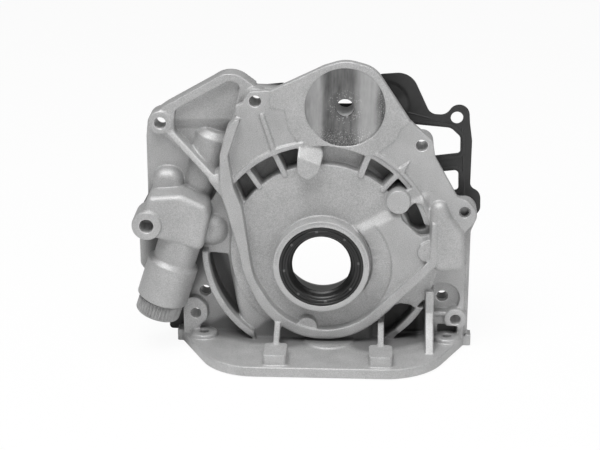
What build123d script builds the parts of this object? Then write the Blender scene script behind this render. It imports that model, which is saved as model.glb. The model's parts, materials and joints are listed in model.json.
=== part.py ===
from build123d import *
import math
import os

os.makedirs("parts", exist_ok=True)

# Crankshaft-driven front-cover oil pump, in millimetres. The crankshaft axis is the Y axis,
# the gasket face is y = 0, the front of the pump faces -Y and +Z is up. Outlines are drawn
# as seen from the front, as (x, z) corners with a corner radius, and depths are measured
# ahead of the gasket face.

# Depths of the casting's faces
plate_depth = 12.0
arm_depth = 17.0
arm_upper_floor = 11.5
arm_lower_floor = 7.5
side_depth = 20.0
dish_depth = 25.0
panel_depth = 26.0
tensioner_depth = 27.0
duct_depth = 28.5
duct_step = 1.2
duct_slope_angle = 20.0
ring_depth = 29.5
ridge_depth = 34.0
seal_boss_depth = 38.0
valve_block_depth = 45.0
port_depth = 47.5
window_floor_depth = 8.0
rear_core_depth = 4.0
core_rib_count = 5
core_rib_width = 5.0
lip_wall = 6.0

# Crankshaft seal
seal_radius = 32.5
seal_width = 10.0
seal_lip_radius = 22.6
seal_boss_wall = 4.8
seal_case_wall = 1.2
seal_rubber_face = 1.4
garter_wire = 1.4
seal_lip_land = 0.8

# Rotor set
inner_lobes = 9
arcs_per_lobe = 6
rotor_offset = 3.4
lobe_circle = 46.0
lobe_radius = 9.0
lobe_clearance = 0.2
rotor_width = 13.0
rotor_end_gap = 0.04
outer_rotor_wall = 5.2
pocket_clearance = 0.08
inner_rotor_bore = 29.0
drive_flat_distance = 27.0
offset_angle = -45.0

# Rotor cover and its screws
cover_thickness = 5.0
cover_margin = 9.8
cover_clearance = 0.1
cover_bore = 30.0
cover_screw_count = 5
cover_screw_sides = 12
cover_screw_radius = 2.5
cover_screw_head = 4.6
cover_screw_length = 15.0

# Relief valve, on an axis that leans to the left at its lower end
valve_lean = 18.0
valve_depth = 27.0
valve_end_x = -125.2
valve_end_z = -31.3
barrel_radius = 20.0
barrel_length = 34.0
barrel_shoulder = 3.0
neck_radius = 16.6
neck_length = 56.0
plunger_radius = 8.0
plunger_clearance = 0.04
plunger_length = 22.0
plunger_wall = 2.2
plunger_skirt = 15.0
relief_travel = 12.0
stop_clearance = 15.0
relief_port_radius = 5.0
spring_wire = 0.9
spring_turns = 6
spring_points = 12
spring_clearance = 0.35
plug_thread_radius = 11.0
plug_thread_length = 13.0
plug_head_radius = 17.6
plug_head_length = 12.4
plug_groove_count = 40
plug_groove_depth = 0.9
washer_thickness = 1.6
spring_seat_wall = 1.0
spring_seat_height = 4.0

# Ports
pressure_port_radius = 5.4
pressure_port_depth = 20.0
port_floor_depth = 3.0
pressure_boss_radius = 11.5
gallery_bulge_radius = 14.0
gallery_bulge_depth = 5.5
gallery_bulge_start = 85.0
gallery_bulge_length = 53.0
side_dome_radius = 13.5
gallery_radius = 3.0
gallery_length = 28.0
cross_plug_length = 4.5
outlet_port_radius = 7.0
inlet_port_radius = 8.0
inlet_port_length = 17.0
inlet_channel_width = 10.0
face_seal_section = 2.8
face_seal_stand = 0.3
seal_groove_offset = 3.0
seal_groove_clearance = 0.1

# Fastening holes
bolt_hole = 4.5
small_bolt_hole = 4.2
ear_plug_radius = 4.3
ear_plug_height = 6.0
ear_plug_inset = 1.5
dowel_sleeve_wall = 1.2
dowel_sleeve_length = 12.0
tensioner_radius = 30.7
tensioner_hole = 6.5
tensioner_cut = 1.0
sump_thread_radius = 3.4
sump_thread_depth = 14.0

# Sump flange
flange_top = -65.5
flange_thickness = 8.2
flange_reach = 81.5
flange_bottom = flange_top - flange_thickness

# Gasket
gasket_thickness = 1.6
bead_height = 0.5
bead_width = 2.0
bead_inset = 1.6

# Places of the main features, as seen from the front
rotor_axis = (
    rotor_offset * math.cos(math.radians(offset_angle)),
    rotor_offset * math.sin(math.radians(offset_angle)),
)
ring_centre = (-2.0, 10.0)
ring_radius = 91.0
ring_wall = 4.8
ring_band = 7.0
window_radius = ring_radius - ring_band
low_rib_offset = 4.2
low_rib_width = 5.2
dish_edge_radius = 71.5
dish_edge_centre = (0.3, 7.4)
dish_round_radius = 60.0
ridge_width = 8.0
tensioner_centre = (17.0, 124.3)
port_centre = (-133.0, 34.6)
outlet_centre = (96.0, 12.0)
inlet_centre = (6.0, 15.4)
duct_slope_line = ((23.3, 30.8), (51.2, 45.5))
large_bolts = {
    "arm": (-124.1, 108.0),
    "panel_left": (-50.7, 128.2),
    "panel_right": (75.3, 95.3),
    "left": (-92.8, -31.7),
    "right": (94.9, -32.7),
}
small_bolts = {
    "ear": (109.4, 42.3),
    "lug_left": (-99.9, -48.2),
    "lug_right": (105.3, -48.8),
}
sump_bolts = [(-34.0, 66.0), (46.8, 66.0), (-93.0, 22.0), (99.0, 22.0)]
foot_size = (18.0, 26.0, 9.0)


def outline(*corners):
    """Face with (x, z, corner radius) corners."""
    points = [(x, z) for x, z, _ in corners]
    radii = [radius for _, _, radius in corners]
    return make_face(FilletPolyline(*points, radius=radii, close=True))


def disc(centre, radius):
    return Pos(*centre) * Circle(radius)


def prism(face, back, front):
    """Solid from one depth ahead of the gasket face to another."""
    return extrude(Plane.XZ.offset(back) * face, amount=front - back)


def rounded_prism(face, back, front, edge_radius):
    """Prism whose front edges are rounded, as a casting's are."""
    block = prism(face, back, front)
    return fillet(block.faces().sort_by(Axis.Y)[0].edges(), edge_radius)


def turned(corners):
    """Ring turned about the crankshaft axis from (radius, depth) corners."""
    section = make_face(Polyline(*[(radius, -depth) for radius, depth in corners], close=True))
    return revolve(section, Axis.Y)


def band(start, end, width):
    """Straight rib seen from the front, from one point to another."""
    run = math.dist(start, end)
    angle = math.degrees(math.atan2(end[1] - start[1], end[0] - start[0]))
    middle = ((start[0] + end[0]) / 2, (start[1] + end[1]) / 2)
    return Pos(*middle) * Rot(0, 0, angle) * SlotOverall(run + width, width)


def polar(centre, radius, angle):
    turn = math.radians(angle)
    return (centre[0] + radius * math.cos(turn), centre[1] + radius * math.sin(turn))


# Frame of the relief valve: its origin is the barrel's end face and its Z axis runs up the bore
valve_frame = Plane(
    origin=(valve_end_x, -valve_depth, valve_end_z),
    x_dir=(math.cos(math.radians(valve_lean)), 0, -math.sin(math.radians(valve_lean))),
    z_dir=(math.sin(math.radians(valve_lean)), 0, math.cos(math.radians(valve_lean))),
)


def valve_rod(radius, start, end):
    """Cylinder on the relief valve's axis, between two heights above the barrel's end."""
    return extrude(valve_frame.offset(start) * Circle(radius), amount=end - start)


outer_rotor_radius = lobe_circle - lobe_radius + 2 * rotor_offset + lobe_clearance + outer_rotor_wall
pocket_radius = outer_rotor_radius + pocket_clearance
pocket_depth = cover_thickness + rotor_width + 2 * rotor_end_gap
cover_radius = pocket_radius + cover_margin
cover_screw_circle = pocket_radius + cover_margin / 2
seal_back_depth = seal_boss_depth - seal_width
garter_depth = seal_back_depth + 3.4
garter_radius = seal_lip_radius + 4.0
plug_seat = plug_thread_length
valve_seat_height = plug_seat + plunger_length + relief_travel + stop_clearance
seal_boss_radius = seal_radius + seal_boss_wall
dish_inner_radius = dish_round_radius - ridge_width


def plate_outline():
    """Mounting plate that carries the gasket face."""
    return outline(
        (-110.0, -70.0, 0), (-110.0, -40.0, 4), (-128.0, -24.0, 8), (-143.5, -12.0, 10),
        (-144.0, 33.0, 8), (-136.0, 48.0, 8), (-135.8, 96.0, 6), (-134.0, 112.0, 8),
        (-118.0, 118.0, 5), (-84.0, 136.5, 20), (-69.0, 145.0, 10), (-52.5, 135.5, 6),
        (-31.0, 134.6, 6), (-10.0, 139.0, 14), (17.0, 152.0, 26), (44.0, 137.0, 14),
        (62.0, 110.0, 8), (81.0, 96.0, 8), (85.5, 78.0, 8), (104.0, 48.0, 4),
        (119.0, 46.0, 9), (120.0, 33.0, 6), (115.5, 22.0, 4), (115.5, -70.0, 0),
    )


def arm_web():
    """Upper-left arm, which stands ahead of the plate."""
    rim = outline(
        (-133.5, 104.0, 8), (-131.0, 113.5, 5), (-119.4, 121.7, 0), (-84.0, 141.8, 20),
        (-69.5, 151.0, 19), (-51.0, 137.0, 0), (-60.0, 126.0, 0), (-66.0, 112.0, 0),
        (-70.0, 60.0, 0), (-84.0, 64.0, 0), (-120.0, 97.0, 0),
    )
    return prism(rim, 0, arm_depth)


def arm_pocket():
    """Pocket of the arm: its floor steps back below a crease that slopes down to the left rib."""
    face = outline(
        (-113.5, 109.5, 0), (-112.5, 118.0, 3), (-85.0, 133.5, 10), (-70.5, 141.5, 8),
        (-62.5, 138.5, 4), (-68.5, 113.0, 0), (-74.0, 100.0, 0), (-77.0, 84.0, 0),
        (-79.0, 69.0, 3), (-85.0, 67.5, 2), (-113.5, 100.5, 0),
    )
    front = -(arm_depth + 1)
    space = Plane.YZ.offset(-125) * make_face(Polyline(
        (front, 150), (-arm_upper_floor, 150), (-arm_upper_floor, 110), (-arm_lower_floor, 101),
        (-arm_lower_floor, 60), (front, 60), close=True,
    ))
    return prism(face, arm_lower_floor, arm_depth + 1) & extrude(space, amount=75)


def front_wall():
    """Front wall of the upper body: both panels and the tensioner boss, open behind."""
    face = outline(
        (-66.0, 124.4, 0), (-60.5, 126.8, 0), (-55.0, 135.8, 4), (-39.0, 136.6, 0),
        (-17.5, 147.0, 60), (1.0, 156.0, 20), (17.0, 161.0, 26), (39.5, 155.0, 22),
        (66.5, 114.0, 3), (83.5, 99.0, 7), (85.8, 86.0, 6), (103.5, 54.5, 3),
        (111.5, 51.5, 6), (118.8, 43.0, 7), (117.5, 34.0, 5), (107.0, 22.0, 4),
        (60.0, 40.0, 0), (0.0, 60.0, 0), (-62.0, 40.0, 0), (-72.5, 70.0, 4),
        (-72.5, 88.0, 12), (-65.0, 111.0, 4),
    )
    face -= disc(ring_centre, window_radius)
    wall = prism(face, panel_depth - lip_wall, panel_depth)
    boss = outline(
        (-39.3, 136.8, 0), (-17.5, 146.8, 60), (1.0, 155.8, 20), (17.0, 160.8, 26),
        (39.3, 154.8, 22), (65.8, 114.0, 0), (58.5, 107.4, 3), (56.0, 100.5, 0), (40.0, 87.0, 0),
        (-12.0, 88.0, 0), (-25.0, 106.3, 12), (-28.1, 121.9, 0), (-40.0, 123.7, 0),
    )
    boss -= disc(ring_centre, window_radius)
    return wall + prism(boss, panel_depth - lip_wall, tensioner_depth)


def wall_ribs():
    """Ribs and hubs behind the front wall, which join it to the mounting plate."""
    hubs = disc(tensioner_centre, tensioner_hole + 7.5)
    for centre in (large_bolts["panel_left"], large_bolts["panel_right"], small_bolts["ear"]):
        hubs += disc(centre, 2 * bolt_hole)
    ribs = band(tensioner_centre, (17.0, 152.0), 4.5)
    for far_end in ((-46.0, 118.0), (-14.0, 98.0), (48.0, 98.0), (60.0, 112.0)):
        ribs += band(tensioner_centre, far_end, 4.5)
    skirt = outline(
        (-64.0, 118.0, 4), (-46.0, 131.0, 6), (-31.0, 131.0, 6), (-14.0, 96.0, 6),
        (46.0, 94.0, 6), (64.0, 109.0, 6), (80.0, 96.0, 6), (83.0, 82.0, 6),
        (101.0, 51.0, 4), (110.0, 20.0, 4), (60.0, 40.0, 0), (0.0, 60.0, 0),
        (-62.0, 40.0, 0), (-70.0, 70.0, 4), (-70.0, 88.0, 12), (-62.0, 110.0, 4),
    )
    return prism(skirt + hubs + ribs, plate_depth - 1, panel_depth - lip_wall + 1)


def rotor_drum():
    """Round body of the pump between the gasket face and the dish."""
    drum = prism(disc(ring_centre, ring_radius), 0, side_depth)
    drum += prism(disc(dish_edge_centre, dish_edge_radius), 0, dish_depth)
    column = outline(
        (-72.0, 30.0, 0), (-72.0, 2.0, 12), (-67.5, -38.0, 60), (-58.0, -72.0, 0), (40.0, -72.0, 0),
        (40.0, 20.0, 0),
    )
    drum += rounded_prism(column, 0, dish_depth - 1, 5.0)
    flank = outline(
        (40.0, 20.0, 0), (88.0, 20.0, 0), (90.0, -8.0, 8), (84.0, -28.0, 10), (74.0, -38.5, 4),
        (58.0, -36.0, 4), (40.0, -50.0, 0),
    )
    drum += prism(flank, 0, dish_depth - 2)
    below_flange = Pos(0, 0, flange_bottom - 50) * Box(400, 400, 100)
    return drum - below_flange


def dish_outer():
    """Face inside the outside line of the ridge that borders the dish."""
    legs = outline(
        (*polar(rotor_axis, dish_round_radius, 200), 0), (-60.8, -9.0, 50), (-63.0, 6.0, 30),
        (-69.5, 30.0, 30), (-78.0, 62.0, 8), (-77.4, 88.0, 12), (-71.8, 109.0, 4), (-66.0, 115.6, 2),
        (-50.0, 113.5, 0), (88.0, 34.0, 0), (89.0, 1.2, 3), (*ridge_touch(dish_round_radius), 0),
    )
    return disc(rotor_axis, dish_round_radius) + legs


def dish_inner():
    """Face of the dish inside its ridge."""
    legs = outline(
        (*polar(rotor_axis, dish_inner_radius, 207), 0), (-51.6, -14.0, 40), (-54.4, -2.0, 20),
        (-61.2, 46.0, 12), (-67.4, 62.0, 10), (-71.4, 87.0, 8), (-61.5, 116.0, 0),
        (-46.0, 122.0, 0), (84.5, 40.0, 0), (83.5, 5.5, 0), (*ridge_touch(dish_inner_radius), 0),
    )
    return disc(rotor_axis, dish_inner_radius) + legs


def ridge_touch(radius):
    """Point where the ridge's straight right leg leaves its round part."""
    return polar(rotor_axis, radius, -47.0)


def ridge():
    """Raised border of the dish, and the narrow arc ribs that close the ring above it."""
    body = prism(dish_outer() - dish_inner(), side_depth - 2, ridge_depth)
    top_arc = disc(ring_centre, ring_radius) - disc(ring_centre, ring_radius - 3.2)
    upper_right = outline(
        (34.0, 82.0, 0), (60.0, 110.0, 0), (110.0, 60.0, 0), (100.0, 22.0, 0), (60.0, 22.0, 0),
    )
    body += prism(top_arc & upper_right, panel_depth - 4, panel_depth + 2.0)
    window_arc = disc(ring_centre, window_radius + 4.0) - disc(ring_centre, window_radius)
    upper_left = outline((-14.0, 70.0, 0), (-14.0, 110.0, 0), (-71.0, 110.0, 0), (-71.0, 56.0, 0))
    body += prism(window_arc & upper_left, panel_depth - 4, panel_depth + 2.5)
    return body


def window_ring():
    """Cored space between the dish and the ring round it, and its shallow stretch at the top."""
    space = disc(ring_centre, window_radius) - disc(dish_edge_centre, dish_edge_radius)
    ends = outline(
        (-60.0, 47.0, 0), (-65.8, 61.0, 0), (-69.0, 76.0, 0), (-60.0, 110.0, 0), (95.0, 110.0, 0),
        (95.0, 32.0, 0), (82.5, 27.5, 3), (75.0, 25.0, 3), (60.0, 34.0, 0), (0.0, 20.0, 0), (-54.0, 42.0, 0),
    )
    top_stretch = outline((-8.0, 70.0, 0), (-8.0, 110.0, 0), (38.0, 110.0, 0), (29.0, 70.0, 0))
    deep = (space & ends) - top_stretch
    return prism(deep, window_floor_depth, ridge_depth + 1) + prism(
        space & top_stretch, side_depth - 5, ridge_depth + 1
    )


def window_ribs():
    """Radial ribs between the windows, the longest of which climbs the left panel."""
    ribs = band((-57.0, 74.0), (-48.0, 60.5), 4.0)
    ribs += band((-36.5, 88.0), (-28.5, 70.5), 4.2)
    ribs += band((36.5, 90.0), (29.5, 71.0), 4.8)
    ribs += band((58.0, 72.5), (46.5, 59.5), 4.0)
    long_rib = prism(band((-45.5, 117.0), (-36.0, 88.0), 3.8), panel_depth - 2, panel_depth + 2.5)
    return prism(ribs, plate_depth - 2, dish_depth + 1.5) + long_rib


def lower_windows():
    """Cored openings below the dish: the long crescent at the left and three at the right."""
    left_of_column = outline(
        (-100.0, 5.0, 0), (-73.5, 3.0, 0), (-70.8, -16.0, 30), (-62.5, -62.0, 0), (-100.0, -62.0, 0),
    )
    faces = [disc(ring_centre, ring_radius - ring_wall) & left_of_column]
    faces.append(outline(
        (49.8, -45.5, 0), (60.5, -35.0, 4), (72.5, -36.5, 3), (70.0, -44.0, 0), (58.1, -57.6, 0),
        (51.0, -62.5, 0), (49.8, -62.5, 0),
    ))
    faces.append(outline(
        (77.5, -44.0, 3), (81.2, -44.5, 0), (81.2, -63.5, 0), (58.0, -63.5, 0), (71.1, -51.6, 0),
    ))
    faces.append(outline((91.5, -54.5, 0), (107.0, -54.5, 0), (107.0, -66.0, 0), (91.5, -66.0, 0)))
    return [prism(face, window_floor_depth, ridge_depth + 1) for face in faces]


def ring_ribs():
    """Curved ribs of the ring at the lower left and the lower right."""
    ring = disc(ring_centre, ring_radius) - disc(ring_centre, ring_radius - ring_wall)
    lower_left = outline((-100.0, 8.0, 0), (-70.0, 8.0, 0), (-50.0, -72.0, 0), (-100.0, -72.0, 0))
    ribs = prism(ring & lower_left, 0, ring_depth)
    low_radius = ring_radius + low_rib_offset
    low_ring = disc(ring_centre, low_radius) - disc(ring_centre, low_radius - low_rib_width)
    lower_right = outline(
        (46.0, -50.0, 0), (46.0, -73.0, 0), (88.0, -73.0, 0), (88.0, -38.0, 0), (64.0, -38.0, 0),
    )
    ribs += prism(low_ring & lower_right, 0, side_depth + 4)
    return ribs


def left_side():
    """Cast domes beside the relief valve block, and the gallery's bulge above it."""
    upper_dome = outline((-131.5, 53.0, 0), (-130.8, 72.4, 10), (-108.3, 71.9, 10), (-107.0, 50.0, 0))
    body = rounded_prism(upper_dome, 0, panel_depth - 2, 8.0)
    return body + Pos(-86.0, -16.5, 23.5) * Sphere(side_dome_radius)


def gallery_bulge():
    """Half-round wall of the gallery, which runs up from the relief valve under the arm's rib."""
    axis = valve_frame.offset(gallery_bulge_start)
    rod = extrude(axis * Circle(gallery_bulge_radius), amount=gallery_bulge_length)
    rod = chamfer(rod.edges().filter_by(GeomType.CIRCLE).sort_by(Axis.Z)[-1], 5.0)
    rod = Pos(0, valve_depth - gallery_bulge_depth, 0) * rod
    return rod & prism(Pos(-95.0, 70.0) * Rectangle(90.0, 90.0), rear_core_depth + 2, ridge_depth)


def valve_body():
    """Relief valve block, neck and barrel, with the pressure port boss beside it."""
    block = outline(
        (-131.5, 57.0, 5), (-106.8, 58.8, 12), (-86.5, 49.5, 6), (-85.5, 40.0, 6), (-91.0, 13.0, 5),
        (-98.0, 15.0, 6), (-127.5, 23.5, 5), (-141.0, 36.0, 6),
    )
    body = rounded_prism(block, 0, valve_block_depth, 5.0)
    lower_wall = outline(
        (-143.5, 34.0, 4), (-143.5, -10.0, 6), (-128.0, -22.0, 6), (-104.0, -10.0, 6), (-94.0, 16.0, 4),
    )
    body += prism(lower_wall, 0, side_depth - 6)
    body += valve_rod(neck_radius, 0, neck_length)
    barrel = valve_rod(barrel_radius, 0, barrel_length)
    body += chamfer(barrel.edges().filter_by(GeomType.CIRCLE).sort_by(Axis.Z)[-1], barrel_shoulder)
    port = prism(disc(port_centre, pressure_boss_radius), side_depth, port_depth)
    body += chamfer(port.faces().sort_by(Axis.Y)[0].edges(), 0.8)
    return body


def lower_lugs():
    """Bolt lugs and spot faces at the two lower corners."""
    left = outline((-109.8, -70.0, 0), (-109.8, -36.0, 0), (-99.0, -34.0, 9), (-90.6, -42.0, 8),
                   (-90.6, -54.0, 7), (-96.0, -58.0, 3), (-100.0, -70.0, 0))
    right_side = outline((86.0, -2.0, 0), (112.0, -2.0, 3), (112.0, -70.0, 0), (86.0, -70.0, 0))
    body = prism(left, 0, arm_depth + 2)
    body += prism(right_side, 0, side_depth - 2)
    body -= prism(disc(large_bolts["right"], 13.4), plate_depth, ridge_depth)
    body += prism(disc(small_bolts["lug_right"], 8.8), 0, side_depth + 2)
    body += prism(Pos(93.0, -44.8) * Rectangle(12.0, 3.6), 0, side_depth)
    rib = Plane.YZ.offset(81.4) * make_face(
        Polyline((0, -23), (-28, -23), (-29, -40), (-52, flange_top), (0, flange_top), close=True)
    )
    body += extrude(rib, amount=6.4)
    return body


def gallery_block():
    """Block at the right that takes the outlet duct back to the gasket face."""
    block = outline(
        (83.0, 45.0, 0), (85.5, 52.0, 6.2), (94.5, 51.0, 6.2), (99.0, 40.0, 16), (109.5, 26.0, 9),
        (111.0, -4.5, 7), (88.5, -5.5, 7), (83.0, 2.0, 0),
    )
    return rounded_prism(block, 0, ridge_depth - 1, 5.5)


def outlet_duct():
    """Raised duct between the seal boss and the gallery block, whose upper side slopes."""
    round_part = disc(rotor_axis, dish_inner_radius)
    far = outline(
        (34.0, 40.0, 0), (58.0, 50.0, 0), (62.0, 37.0, 0), (75.5, 24.0, 5), (86.0, 24.0, 0),
        (86.0, 3.0, 0), (44.0, -33.0, 0), (30.0, 0.0, 0),
    )
    body = prism(far - round_part, dish_depth - 2, duct_depth)
    near = outline(
        (18.0, 24.0, 0), (30.0, 46.0, 0), (60.0, 46.0, 0), (54.0, -30.0, 0), (38.0, -40.0, 0),
        (30.0, 0.0, 0),
    )
    step_depth = duct_depth - duct_step
    fall = Plane.YZ * make_face(Polyline(
        (-dish_depth + 2, 50), (-step_depth, 50), (-step_depth, 12), (-dish_depth, -40),
        (-dish_depth + 2, -40), close=True,
    ))
    body += prism(near & round_part, dish_depth - 2, duct_depth) & extrude(fall, amount=100)
    start, end = duct_slope_line
    run = math.dist(start, end)
    tilt = math.radians(duct_slope_angle)
    slope = Plane(
        origin=(start[0], -dish_depth, start[1]), x_dir=(end[0] - start[0], 0, end[1] - start[1]),
        z_dir=(
            -(end[1] - start[1]) / run * math.sin(tilt), -math.cos(tilt),
            (end[0] - start[0]) / run * math.sin(tilt),
        ),
    )
    return body - slope * Pos(0, 0, 20) * Box(200, 200, 40)


def small_pads():
    """Cast pads on the front: the roof-shaped lug, the round pad, gussets and dimples."""
    lug = outline((-17.5, 96.0, 0), (-2.5, 97.0, 0), (1.2, 88.0, 0), (-2.6, 75.0, 5), (-11.0, 68.6, 5),
                  (-18.8, 74.0, 5), (-18.6, 86.5, 0))
    body = prism(lug, plate_depth, ridge_depth + 1)
    slope = Plane(origin=(-9, -(ridge_depth + 1), 84), z_dir=(0.25, -0.72, 0.65))
    body -= slope * Pos(0, 0, 15) * Box(60, 60, 30)
    body += prism(disc((58.4, 52.4), 9.2), window_floor_depth - 1, ridge_depth)
    web = outline((58.0, 60.5, 0), (64.5, 60.0, 0), (72.0, 63.0, 0), (77.0, 50.0, 0), (70.5, 50.5, 3),
                  (64.0, 44.5, 0), (58.0, 44.5, 0))
    body += prism(web, window_floor_depth - 1, panel_depth + 2)
    gusset = outline((57.5, 76.5, 0), (61.5, 72.0, 0), (66.5, 83.0, 0))
    body += prism(gusset, panel_depth - 2, panel_depth + 2.5)
    body += prism(disc((-11.0, -53.0), 8.0), dish_depth - 2, ridge_depth - 1.5)
    body += prism(disc((82.0, 12.0), 8.0), dish_depth - 2, ridge_depth - 1.5)
    return body


def sump_flange():
    """Flat flange along the bottom, which the sump is screwed to from below."""
    reach = -flange_reach
    face = make_face(FilletPolyline(
        (-114.0, 0), (-114.0, -10.0), (-78.0, reach), (80.0, reach), (116.5, -8.0), (116.5, 0),
        radius=[0, 3, 45, 50, 3, 0], close=True,
    ))
    flange = extrude(Plane.XY.offset(flange_bottom) * face, amount=flange_thickness)
    tab_height = flange_thickness + 1.5
    for side_x in (-113.0, 116.0):
        flange += Pos(side_x, -11, flange_bottom + tab_height / 2) * Box(4.5, 10, tab_height)
    return flange


def flange_feet():
    """Threaded feet and pads on the flange, with the gussets that brace them to the dish."""
    width, length, height = foot_size
    body = None
    for index, (x, reach) in enumerate(sump_bolts[:2]):
        foot = Pos(x, -reach, flange_top + height / 2 - 0.5) * Box(width, length - 2, height)
        foot = fillet(foot.edges().filter_by(Axis.Z), 3.0)
        gusset = Plane.YZ.offset(x - 2.4) * make_face(Polyline(
            (-20, -48), (-ridge_depth, -48), (-58, flange_top + height), (-20, flange_top + height),
            close=True,
        ))
        pair = foot + extrude(gusset, amount=4.8)
        body = pair if body is None else body + pair
    for x, reach in sump_bolts[2:]:
        pad = Pos(x, -reach, flange_top + 1.5) * Cylinder(10.5, 4.0)
        body += chamfer(pad.faces().sort_by(Axis.Z)[-1].edges(), 1.0)
    inlet_x, inlet_reach = inlet_centre
    return body + Pos(inlet_x, -inlet_reach - 10.5, flange_top) * Cylinder(20.0, 2.4)


def arm_bosses():
    """Boss at the end of the arm, and the rib that climbs from it to the ridge."""
    boss = prism(disc(large_bolts["arm"], 9.4), 0, arm_depth + 1.5)
    body = chamfer(boss.faces().sort_by(Axis.Y)[0].edges(), 0.8)
    rib = band((-118.0, 102.0), (-74.0, 60.0), 4.8)
    rib += outline((-87.0, 68.5, 0), (-79.0, 72.5, 0), (-70.0, 72.0, 0), (-65.0, 38.0, 0), (-69.5, 34.0, 0),
                   (-77.0, 54.0, 0))
    climb = Plane.YZ.offset(-130) * make_face(Polyline(
        (0, 112), (-arm_depth, 112), (-arm_depth - 1, 102), (-ridge_depth + 1, 66),
        (-ridge_depth + 1, 30), (0, 30), close=True,
    ))
    return body + (prism(rib, plate_depth - 2, ridge_depth) & extrude(climb, amount=80))


def rotor_pocket():
    """Pocket for the rotor set, opened from behind, with its suction and pressure ports."""
    cut = prism(disc(rotor_axis, cover_radius + cover_clearance), -1, cover_thickness)
    cut += prism(disc(rotor_axis, pocket_radius), -1, pocket_depth)
    cut += prism(disc((0, 0), inner_rotor_bore - 1.5), 0, seal_back_depth)
    cut += prism(disc((0, 0), seal_radius), seal_back_depth, seal_boss_depth + 1)
    floor = pocket_depth + port_floor_depth
    for start in (offset_angle + 25.0, offset_angle + 205.0):
        cut += prism(kidney(start, 130.0), pocket_depth - 1, floor)
    duct = Pos((inner_rotor_bore + outlet_centre[0]) / 2 + 4, outlet_centre[1])
    duct_length = outlet_centre[0] - inner_rotor_bore - 8
    cut += prism(duct * Rectangle(duct_length, 9.0), pocket_depth - 1, floor)
    inlet_x = inlet_centre[0]
    channel = Pos(inlet_x, -48.0) * Rectangle(inlet_channel_width, 22.0)
    cut += prism(channel, pocket_depth - 1, floor)
    return cut


def kidney(start, sweep):
    """Curved port slot about the crankshaft axis."""
    radius = lobe_circle - lobe_radius
    half_width = rotor_offset - 0.4
    end = start + sweep
    outer = [polar((0, 0), radius + half_width, start + sweep * step / 2) for step in range(3)]
    inner = [polar((0, 0), radius - half_width, end - sweep * step / 2) for step in range(3)]
    outer_cap = polar((0, 0), radius, end + math.degrees(half_width / radius))
    inner_cap = polar((0, 0), radius, start - math.degrees(half_width / radius))
    return make_face(Curve() + [
        ThreePointArc(*outer), ThreePointArc(outer[2], outer_cap, inner[0]),
        ThreePointArc(*inner), ThreePointArc(inner[2], inner_cap, outer[0]),
    ])


def screw_places():
    """Places of the cover screws round the rotor axis."""
    step = 360.0 / cover_screw_count
    return [polar(rotor_axis, cover_screw_circle, 90 + step * index) for index in range(cover_screw_count)]


def seal_groove(port_radius):
    """Face groove for a square ring round a port."""
    middle = port_radius + seal_groove_offset
    half = face_seal_section / 2 + seal_groove_clearance
    return Circle(middle + half) - Circle(middle - half)


def drillings():
    """Every drilled, bored and threaded hole of the casting."""
    cut = prism(disc(tensioner_centre, tensioner_hole), -1, tensioner_depth + 1)
    cut += prism(disc(tensioner_centre, tensioner_radius), tensioner_depth - tensioner_cut, ridge_depth)
    for centre in large_bolts.values():
        cut += prism(disc(centre, bolt_hole), -1, ridge_depth)
    for name in ("lug_left", "lug_right"):
        cut += prism(disc(small_bolts[name], small_bolt_hole), -1, ridge_depth)
    cut += prism(disc(small_bolts["ear"], ear_plug_radius), side_depth - 6, ridge_depth)
    for name in ("left", "right"):
        sleeve = bolt_hole + dowel_sleeve_wall
        cut += prism(disc(large_bolts[name], sleeve), -1, dowel_sleeve_length / 2)
    for place in screw_places():
        shank = Pos(*place) * RegularPolygon(cover_screw_radius, cover_screw_sides)
        cut += prism(shank, cover_thickness - 1, cover_screw_length + 1)
    cut += prism(disc(port_centre, pressure_port_radius), port_depth - pressure_port_depth, port_depth + 1)
    cut += prism(disc(outlet_centre, outlet_port_radius), -1, pocket_depth + port_floor_depth)
    groove_depth = face_seal_section - face_seal_stand + seal_groove_clearance
    cut += prism(Pos(*outlet_centre) * seal_groove(outlet_port_radius), -1, groove_depth)
    inlet_x, inlet_reach = inlet_centre
    inlet = Plane.XY.offset(flange_bottom - 1) * Pos(inlet_x, -inlet_reach)
    cut += extrude(inlet * Circle(inlet_port_radius), amount=inlet_port_length + 1)
    cut += extrude(inlet * seal_groove(inlet_port_radius), amount=groove_depth + 1)
    for x, reach in sump_bolts:
        hole = Plane.XY.offset(flange_bottom - 1) * Pos(x, -reach) * Circle(sump_thread_radius)
        cut += extrude(hole, amount=sump_thread_depth + 1)
    return cut


def valve_bore():
    """Relief bore from the barrel's end, with the drilled gallery to the pressure port."""
    cut = valve_rod(plug_thread_radius, -1, plug_seat)
    cut += valve_rod(plunger_radius, plug_seat - 1, valve_seat_height)
    cut += valve_rod(relief_port_radius, valve_seat_height - 1, valve_seat_height + 6)
    return cut + cross_drilling(port_centre[0] - pressure_boss_radius - 1, port_centre[0] + gallery_length)


def cross_drilling(start_x, end_x):
    """Cylinder on the axis of the gallery between the pressure port and the relief bore."""
    place = Plane.YZ.offset(start_x) * Pos(-(port_depth - pressure_port_depth + 3), port_centre[1])
    return extrude(place * Circle(gallery_radius), amount=end_x - start_x)


def seal_boss():
    """Round boss that holds the crankshaft seal, with its shallow half-round step."""
    boss = prism(disc((0, 0), seal_boss_radius), dish_depth - 2, seal_boss_depth)
    step = disc((0, 0), seal_boss_radius - 1.0) - disc((0, 0), seal_radius + 1.1)
    upper_half = Pos(0, 50) * Rectangle(100, 100)
    boss -= prism(step & upper_half, seal_boss_depth - 0.8, seal_boss_depth + 1)
    return boss


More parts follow.
